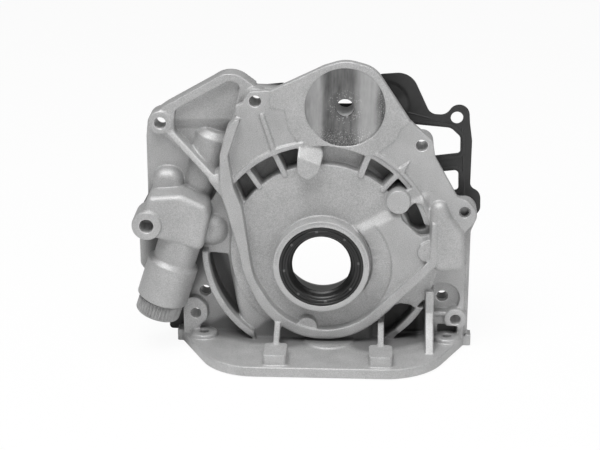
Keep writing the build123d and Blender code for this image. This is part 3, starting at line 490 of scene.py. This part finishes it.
def soft_casting():
    """The casting with rounded edges and fillets, made from its solid."""
    rough = bpy.data.objects.new("casting_rough", merged_copy("pump_housing"))
    scene.collection.objects.link(rough)
    remesh = rough.modifiers.new("surface", "REMESH")
    remesh.mode = "VOXEL"
    remesh.voxel_size = CASTING_CELL
    mesh = baked(rough)
    rough.modifiers.clear()
    average = neighbour_average(mesh)
    points = points_of(mesh)
    hold = machined_hold(points)
    for _ in range(CASTING_SOFTENING):
        points = points + (average(points) - points) * 0.6 * (1.0 - hold)
    raise_duct(points)
    mesh.vertices.foreach_set("co", points.ravel())
    mesh.update()
    rough.data = mesh
    triangles = 2 * len(mesh.polygons)
    if triangles > CASTING_TRIANGLES:
        thin = rough.modifiers.new("thin", "DECIMATE")
        thin.ratio = CASTING_TRIANGLES / triangles
        mesh = baked(rough)
    bpy.data.objects.remove(rough)
    mesh.shade_smooth()
    store_stand(mesh, points)
    piece = new_piece("pump_casting", mesh)
    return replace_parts(piece, "pump_housing")


def eased(value):
    """0 to 1 with soft ends."""
    value = np.clip(value, 0.0, 1.0)
    return value * value * (3.0 - 2.0 * value)


def raise_duct(points):
    """Raises the duct at the right of the seal boss past its solid, so that its edge shows."""
    x, depth, z = points[:, 0] / MM, -points[:, 1] / MM, points[:, 2] / MM
    above = (z - DUCT_EDGE[1]) * DUCT_ACROSS[1] + (x - DUCT_EDGE[0]) * DUCT_ACROSS[0]
    amount = eased((4.0 - above) / 8.0) * eased((z + 50.0) / 45.0) * eased((x - 10.0) / 20.0)
    amount *= eased((np.hypot(x, z) - BOSS_RADIUS + 2.0) / 2.0) * eased((84.0 - x) / 8.0)
    amount *= np.clip((depth - 21.0) / 4.0, 0.0, 1.0) * np.clip((37.0 - depth) / 7.0, 0.0, 1.0)
    points[:, 1] -= amount * DUCT_RISE * MM


def store_stand(mesh, dense_points):
    """Stores how far each point stands ahead of its surroundings, in millimetres, which the casting's material
    turns into painted light and shade.
    """
    low = dense_points.min(axis=0)
    front = np.zeros(((dense_points.max(axis=0) - low) / STAND_CELL).astype(int)[[0, 2]] + 1)

    def cells(points):
        places = ((points - low) / STAND_CELL).astype(int)
        columns = np.clip(places[:, 0], 0, front.shape[0] - 1)
        return columns, np.clip(places[:, 2], 0, front.shape[1] - 1)

    np.maximum.at(front, cells(dense_points), -dense_points[:, 1])
    spread = STAND_REACH / STAND_CELL
    steps = np.arange(-3 * int(spread), 3 * int(spread) + 1)
    weights = np.exp(-0.5 * (steps / spread) ** 2)
    weights /= weights.sum()
    for axis in (0, 1):
        front = np.apply_along_axis(lambda line: np.convolve(line, weights, "same"), axis, front)
    points = points_of(mesh)
    stand = (-points[:, 1] - front[cells(points)]) / MM
    normals = np.zeros(len(points) * 3)
    mesh.vertex_normals.foreach_get("vector", normals)
    behind = np.clip(normals[1::3] * 2.0, 0.0, 1.0)
    stored = mesh.attributes.new("stand", "FLOAT", "POINT")
    stored.data.foreach_set("value", (stand * (1.0 - behind)).astype(np.float32))


def machined_hold(points):
    """How firmly each point is held against softening: most beside machined edges."""
    x, depth, z = points[:, 0] / MM, -points[:, 1] / MM, points[:, 2] / MM
    hold = np.zeros(len(points))
    places = [(0.0, 0.0, SEAL_RADIUS)] + [hole[:3] for hole in drilled_holes()]
    for px, pz, radius in places:
        distance = np.abs(np.hypot(x - px, z - pz) - radius)
        hold = np.maximum(hold, np.clip(1.6 - distance, 0.0, 0.75))
    hold = np.maximum(hold, np.where(depth < 6.5, 0.85, 0.0))
    return hold[:, None]


def lathe(name, profile, axis_point, up, side, segments=192, radius_at=None):
    """Closed ring turned about an axis from (radius, height) corners in millimetres."""
    out = side.cross(up)
    edit = bmesh.new()
    rings = []
    for index in range(segments):
        turn = 2 * math.pi * index / segments
        ray = side * math.cos(turn) + out * math.sin(turn)
        ring = []
        for radius, height in profile:
            if radius_at is not None:
                radius = radius_at(radius, height, turn)
            ring.append(edit.verts.new((axis_point + ray * radius + up * height) * MM))
        rings.append(ring)
    for index in range(segments):
        ring, following = rings[index], rings[(index + 1) % segments]
        for step in range(len(profile)):
            nxt = (step + 1) % len(profile)
            edit.faces.new((ring[step], ring[nxt], following[nxt], following[step]))
    bmesh.ops.remove_doubles(edit, verts=edit.verts, dist=1e-7)
    bmesh.ops.recalc_face_normals(edit, faces=edit.faces)
    mesh = bpy.data.meshes.new(name)
    edit.to_mesh(mesh)
    edit.free()
    return mesh


def shaded(mesh, angle=32.0):
    """Smooth shading with creases kept sharp."""
    mesh.shade_smooth()
    mesh.set_sharp_from_angle(angle=math.radians(angle))
    return mesh


def rounded(corners, radius, steps=3):
    """Closed profile with each corner cut back into a short round."""
    result = []
    count = len(corners)
    for index, corner in enumerate(corners):
        corner = Vector(corner)
        before = Vector(corners[index - 1]) - corner
        after = Vector(corners[(index + 1) % count]) - corner
        reach = min(radius, before.length * 0.4, after.length * 0.4)
        start, end = corner + before.normalized() * reach, corner + after.normalized() * reach
        for step in range(steps + 1):
            share = step / steps
            result.append(tuple(start.lerp(corner, share).lerp(corner.lerp(end, share), share)))
    return result


def seal_face():
    """Rubber of the seal with the moulded rings of its face and its lip."""
    corners = [
        (SEAL_RADIUS, SEAL_FRONT - 1.4), (SEAL_RADIUS, SEAL_FRONT - 0.3),
        (SEAL_RADIUS - 0.6, SEAL_FRONT), (SEAL_RADIUS - 1.9, SEAL_FRONT),
        (SEAL_RADIUS - 2.3, SEAL_FRONT - 0.6), (LIP_ROOT + 3.2, SEAL_FRONT - 0.6),
        (LIP_ROOT + 2.8, SEAL_FRONT - 0.1), (LIP_ROOT + 1.4, SEAL_FRONT - 0.1),
        (LIP_ROOT + 0.9, SEAL_FRONT - 0.9), (LIP_ROOT - 0.4, SEAL_FRONT - 1.0),
        (LIP_ROOT - 1.4, SEAL_FRONT - 2.2), (LIP_RADIUS + 1.5, LIP_DEPTH + 1.6),
        (LIP_RADIUS, LIP_DEPTH), (LIP_RADIUS, LIP_DEPTH - 0.8),
        (GARTER_RADIUS - 1.0, SEAL_BACK + 2.0),
        (GARTER_RADIUS - 0.7, LIP_DEPTH - 0.7), (GARTER_RADIUS - 0.7, LIP_DEPTH + 0.7),
        (LIP_ROOT, LIP_DEPTH + 2.6), (LIP_ROOT, SEAL_FRONT - 1.4),
    ]
    front, side = Vector((0, -1, 0)), Vector((1, 0, 0))
    mesh = lathe("seal_face", rounded(corners, 0.35, 2), Vector((0, 0, 0)), front, side, 240)
    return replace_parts(new_piece("seal_face", shaded(mesh, 50.0)), "seal_rubber")


def valve_axes():
    """Way up the relief valve's bore, and a way square to it."""
    slide = next(joint for joint in frame["joints"] if joint["name"] == "relief_slide")
    up = -Vector(slide["axis"]).normalized()
    side = Vector((0, 1, 0)).cross(up)
    return up, side


def plug_grooves(radius, height, turn):
    """Radius of the plug's head, cut by uneven fine grooves along its side."""
    if radius < PLUG_RADIUS - 0.8 or height > PLUG_TOP + 0.1:
        return radius
    wave = math.sin(72 * turn) + 0.8 * math.sin(113 * turn + 1.3) + 0.6 * math.sin(41 * turn + 0.4)
    return radius - 0.40 + 0.22 * max(-1.7, min(1.7, wave))


def grooved_plug():
    """Relief plug with its striated head, chamfered end and round recess."""
    up, side = valve_axes()
    middle = (PLUG_TOP + PLUG_BOTTOM) / 2
    corners = [
        (0.0, PLUG_BOTTOM + 4.0), (5.2, PLUG_BOTTOM + 4.0), (5.4, PLUG_BOTTOM + 0.2),
        (9.0, PLUG_BOTTOM), (PLUG_RADIUS - 1.2, PLUG_BOTTOM), (PLUG_RADIUS, PLUG_BOTTOM + 1.2),
        (PLUG_RADIUS, middle - 2.0), (PLUG_RADIUS, middle + 2.0),
        (PLUG_RADIUS, PLUG_TOP - 0.6), (PLUG_RADIUS - 0.6, PLUG_TOP),
        (PLUG_SHANK_RADIUS, PLUG_TOP), (PLUG_SHANK_RADIUS, PLUG_SHANK_TOP - 1.0),
        (PLUG_SHANK_RADIUS - 1.0, PLUG_SHANK_TOP), (6.5, PLUG_SHANK_TOP), (6.4, PLUG_SHANK_TOP - 4.0),
        (0.0, PLUG_SHANK_TOP - 4.0),
    ]
    mesh = lathe("relief_plug_grooved", corners, VALVE_END, up, side, 720, plug_grooves)
    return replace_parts(new_piece("relief_plug_grooved", shaded(mesh, 60.0)), "relief_plug")


class Shape(Net):
    """A Geometry Nodes tree with named inputs."""

    def __init__(self, name, sizes):
        super().__init__(bpy.data.node_groups.new(name, "GeometryNodeTree"))
        self.sizes = sizes
        self.keys = {}
        for size, value in sizes.items():
            kind = "NodeSocketInt" if isinstance(value, int) else "NodeSocketFloat"
            if isinstance(value, bpy.types.Material):
                kind = "NodeSocketMaterial"
            face = self.tree.interface
            self.keys[size] = face.new_socket(size, in_out="INPUT", socket_type=kind).identifier
        self.tree.interface.new_socket("Geometry", in_out="OUTPUT", socket_type="NodeSocketGeometry")
        self.given = self.tree.nodes.new("NodeGroupInput").outputs

    def finish(self, geometry):
        real = self.add("GeometryNodeRealizeInstances", inputs=[geometry])
        inputs = {"Geometry": real, "Material": self.given["Material"]}
        dressed = self.add("GeometryNodeSetMaterial", inputs=inputs)
        output = self.tree.nodes.new("NodeGroupOutput")
        self.feed(output.inputs[0], dressed)

    def mesh(self, name):
        """Plain mesh of the tree's result."""
        holder = bpy.data.objects.new(name, bpy.data.meshes.new(name))
        scene.collection.objects.link(holder)
        modifier = holder.modifiers.new("shape", "NODES")
        modifier.node_group = self.tree
        for size, value in self.sizes.items():
            modifier[self.keys[size]] = value
        bpy.context.view_layer.update()
        result = baked(holder)
        bpy.data.objects.remove(holder)
        return result


def spring_tree(material):
    """Helix of round wire with capped ends, along Z."""
    shape = Shape("valve_spring", {
        "Turns": SPRING_TURNS, "Coil radius": SPRING_RADIUS * MM, "Wire": (SPRING_WIRE - 0.05) * MM,
        "Height": (SPRING_TOP - SPRING_SEAT_FLOOR - 2.4 * SPRING_WIRE) * MM, "Material": material})
    given = shape.given
    helix = shape.add("GeometryNodeCurveSpiral", inputs={
        "Resolution": 28, "Rotations": given["Turns"], "Start Radius": given["Coil radius"],
        "End Radius": given["Coil radius"], "Height": given["Height"]})
    wire = shape.add("GeometryNodeCurvePrimitiveCircle", inputs={
        "Resolution": 12, "Radius": given["Wire"]})
    shape.finish(shape.add("GeometryNodeCurveToMesh", inputs={
        "Curve": helix, "Profile Curve": wire, "Fill Caps": True}))
    return shape


def relief_coil(material):
    """The relief valve's spring, standing in the plug."""
    up, side = valve_axes()
    mesh = spring_tree(material).mesh("relief_coil")
    out = up.cross(side)
    base = VALVE_END + up * (SPRING_SEAT_FLOOR + 1.1 * SPRING_WIRE)
    for vertex in mesh.vertices:
        x, y, z = vertex.co
        vertex.co = side * x + out * y + up * z + base * MM
    mesh.update()
    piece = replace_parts(new_piece("relief_coil", shaded(mesh, 60.0)), "relief_spring")
    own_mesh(piece)
    return piece


def garter_tree(material):
    """Fine coil bent into a ring, in the XY plane."""
    shape = Shape("garter_spring", {
        "Ring radius": GARTER_RADIUS * MM, "Coil radius": (GARTER_COIL - 0.2) * MM, "Wire": 0.2 * MM,
        "Windings": 150, "Material": material})
    given = shape.given
    ring = shape.add("GeometryNodeCurvePrimitiveCircle", inputs={
        "Resolution": 1500, "Radius": given["Ring radius"]})
    place = shape.add("GeometryNodeInputPosition")
    share = shape.add("GeometryNodeSplineParameter", output="Factor")
    turns = shape.add("ShaderNodeMath", {"operation": "MULTIPLY"}, [share, given["Windings"]])
    angle = shape.add("ShaderNodeMath", {"operation": "MULTIPLY"}, [turns, 2 * math.pi])
    across = shape.add("ShaderNodeMath", {"operation": "COSINE"}, [angle])
    along = shape.add("ShaderNodeMath", {"operation": "SINE"}, [angle])
    unit = shape.add("ShaderNodeVectorMath", {"operation": "NORMALIZE"}, [place])
    reach = shape.add("ShaderNodeMath", {"operation": "MULTIPLY"}, [across, given["Coil radius"]])
    sideways = shape.add("ShaderNodeVectorMath", {"operation": "SCALE"}, {0: unit, "Scale": reach})
    height = shape.add("ShaderNodeMath", {"operation": "MULTIPLY"}, [along, given["Coil radius"]])
    lift = shape.add("ShaderNodeCombineXYZ", inputs={"Z": height})
    shift = shape.add("ShaderNodeVectorMath", {"operation": "ADD"}, [sideways, lift])
    moved = shape.add("GeometryNodeSetPosition", inputs={"Geometry": ring, "Offset": shift})
    wire = shape.add("GeometryNodeCurvePrimitiveCircle", inputs={
        "Resolution": 6, "Radius": given["Wire"]})
    shape.finish(shape.add("GeometryNodeCurveToMesh", inputs={
        "Curve": moved, "Profile Curve": wire}))
    return shape


def garter_coil(material):
    """The seal's ring spring, behind its lip."""
    mesh = garter_tree(material).mesh("garter_coil")
    for vertex in mesh.vertices:
        x, y, z = vertex.co
        vertex.co = (x, z - LIP_DEPTH * MM, -y)
    mesh.update()
    mesh.shade_smooth()
    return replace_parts(new_piece("garter_coil", mesh), "seal_garter_spring")


def screw_tree(material):
    """Countersunk screws round a circle in the XY plane, heads up, each with a hexagon socket."""
    shape = Shape("cover_screw_set", {
        "Count": SCREW_COUNT, "Circle": SCREW_CIRCLE * MM, "Head": SCREW_HEAD * MM,
        "Shank": SCREW_SHANK * MM, "Length": SCREW_LENGTH * MM, "Socket": 2.2 * MM,
        "Material": material})
    given = shape.given
    cone_height = (SCREW_HEAD - SCREW_SHANK) * MM
    head = shape.add("GeometryNodeMeshCone", inputs={
        "Vertices": 48, "Radius Top": given["Head"], "Radius Bottom": given["Shank"],
        "Depth": cone_height})
    head = shape.add("GeometryNodeTransform", inputs={
        "Geometry": head, "Translation": (0, 0, -cone_height)})
    shank = shape.add("GeometryNodeMeshCylinder", inputs={
        "Vertices": 48, "Radius": given["Shank"], "Depth": given["Length"]})
    drop = shape.add("ShaderNodeMath", {"operation": "MULTIPLY"}, [given["Length"], -0.5])
    place = shape.add("ShaderNodeCombineXYZ", inputs={"Z": drop})
    shank = shape.add("GeometryNodeTransform", inputs={"Geometry": shank, "Translation": place})
    shank = shape.add("GeometryNodeTransform", inputs={
        "Geometry": shank, "Translation": (0, 0, -0.1 * MM)})
    socket = shape.add("GeometryNodeMeshCylinder", inputs={
        "Vertices": 6, "Radius": given["Socket"], "Depth": 4.0 * MM})
    joined = shape.tree.nodes.new("GeometryNodeJoinGeometry")
    shape.feed(joined.inputs[0], head)
    shape.feed(joined.inputs[0], shank)
    solid = shape.add("GeometryNodeMeshBoolean", {"operation": "DIFFERENCE", "solver": "EXACT"}, {
        0: joined.outputs[0], 1: socket})
    circle = shape.add("GeometryNodeMeshCircle", inputs={
        "Vertices": given["Count"], "Radius": given["Circle"]})
    shape.finish(shape.add("GeometryNodeInstanceOnPoints", inputs={
        "Points": circle, "Instance": solid}))
    return shape


def cover_screw_heads(material):
    """The cover's screws, given a quarter turn and put into place on the gasket side."""
    mesh = screw_tree(material).mesh("cover_screw_heads")
    for vertex in mesh.vertices:
        x, y, z = vertex.co
        vertex.co = (COVER_CENTRE[0] * MM - y, z - 0.02 * MM, COVER_CENTRE[1] * MM + x)
    mesh.update()
    edit = bmesh.new()
    edit.from_mesh(mesh)
    bmesh.ops.recalc_face_normals(edit, faces=edit.faces)
    edit.to_mesh(mesh)
    edit.free()
    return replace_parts(new_piece("cover_screw_heads", shaded(mesh, 35.0)), "cover_screws")


def dress_frame(finishes):
    """Gives every CAD node that is still shown its finish."""
    for entry in frame["record"]["subparts"]:
        node = nodes[entry["node"]]
        dress(node, finishes[entry["material_slot"]])
        node.data.shade_smooth()
        node.data.set_sharp_from_angle(angle=math.radians(28.0))


def studio_floor():
    """Flat floor just under the casting."""
    floor_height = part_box("pump_housing")[0][2] - FLOOR_GAP
    edit = bmesh.new()
    bmesh.ops.create_grid(edit, x_segments=8, y_segments=8, size=6.0)
    mesh = bpy.data.meshes.new("studio_floor")
    edit.to_mesh(mesh)
    edit.free()
    mesh.transform(Matrix.Translation((0, 0, floor_height)))
    floor = bpy.data.objects.new("studio_floor", mesh)
    scene.collection.objects.link(floor)
    return floor


def pale_floor():
    """White floor that keeps a faint shadow."""
    material = bpy.data.materials.new("studio_white")
    material.use_nodes = True
    net = Net(material.node_tree)
    material.node_tree.nodes.remove(material.node_tree.nodes["Principled BSDF"])
    diffuse = net.add("ShaderNodeBsdfDiffuse", inputs={"Color": (0.9, 0.9, 0.9, 1)})
    glow = net.add("ShaderNodeEmission", inputs={"Color": (1, 1, 1, 1), "Strength": 1.0})
    seen = Value(net, net.add("ShaderNodeLightPath", output="Is Camera Ray"))
    mixed = net.add("ShaderNodeMixShader", inputs=[seen * 0.93, diffuse, glow])
    net.feed(material.node_tree.nodes["Material Output"].inputs["Surface"], mixed)
    return material


def surroundings():
    """Even white light from all round, which the camera sees as white."""
    world = bpy.data.worlds.new("studio_world")
    scene.world = world
    world.use_nodes = True
    net = Net(world.node_tree)
    base = world.node_tree.nodes["Background"]
    light = net.add("ShaderNodeBackground", inputs={"Color": (1, 1, 1, 1), "Strength": 0.20})
    white = net.add("ShaderNodeBackground", inputs={"Color": (1, 1, 1, 1), "Strength": 1.0})
    seen = net.add("ShaderNodeLightPath", output="Is Camera Ray")
    mixed = net.add("ShaderNodeMixShader", inputs=[seen, light, white])
    net.feed(world.node_tree.nodes["World Output"].inputs["Surface"], mixed)
    world.node_tree.nodes.remove(base)


def lamp(name, place, size, power):
    """Soft rectangular lamp that faces the pump."""
    light = bpy.data.lights.new(name, "AREA")
    light.shape = "RECTANGLE"
    light.size, light.size_y = size
    light.energy = power
    holder = bpy.data.objects.new(name, light)
    scene.collection.objects.link(holder)
    holder.location = place
    holder.rotation_euler = (LAMP_AIM - Vector(place)).to_track_quat("-Z", "Y").to_euler()


def camera():
    """Camera at the photograph's angle, about 1.2 m away."""
    lens = bpy.data.cameras.new("camera")
    lens.lens = 96.0
    lens.sensor_width = 36.0
    lens.clip_start = 0.05
    holder = bpy.data.objects.new("camera", lens)
    scene.collection.objects.link(holder)
    holder.location = CAMERA_PLACE
    holder.rotation_euler = CAMERA_DIRECTION.to_track_quat("-Z", "Y").to_euler()
    scene.camera = holder


finishes = {
    "cast_alloy": cast_alloy(),
    "seal_rubber": seal_black(),
    "seal_steel": plain_metal("seal_case_steel", 0.32, 0.46, 0.35),
    "spring_steel": plain_metal("spring_wire", 0.30, 0.42, 0.3),
    "rotor_steel": plain_metal("sintered_rotor", 0.20, 0.32, 0.42, turning=(0.0, 0.0)),
    "cover_steel": plain_metal("ground_cover", 0.38, 0.52, 0.32, turning=COVER_CENTRE),
    "screw_steel": plain_metal("screw_black_zinc", 0.16, 0.26, 0.38),
    "valve_steel": plain_metal("ground_plunger", 0.42, 0.58, 0.22),
    "plug_alloy": plain_metal("plug_aluminium", 0.26, 0.50, 0.45, 0.6),
    "gasket_black": pressed_gasket(),
    "bead_rubber": soft_black("gasket_bead_rubber", 0.022, 0.036, 0.38),
    "port_seal_rubber": soft_black("port_seal_rubber", 0.020, 0.032, 0.45),
}

dress_frame(finishes)
dress(soft_casting(), finishes["cast_alloy"])
dress(seal_face(), finishes["seal_rubber"])
dress(grooved_plug(), finishes["plug_alloy"])
dress(relief_coil(finishes["spring_steel"]), finishes["spring_steel"])
dress(garter_coil(finishes["spring_steel"]), finishes["spring_steel"])
dress(cover_screw_heads(finishes["screw_steel"]), finishes["screw_steel"])

studio_floor().data.materials.append(pale_floor())
surroundings()
for lamp_name, (place, size, power) in LAMPS.items():
    lamp(lamp_name, place, size, power)
camera()
scene.view_settings.view_transform = "Standard"
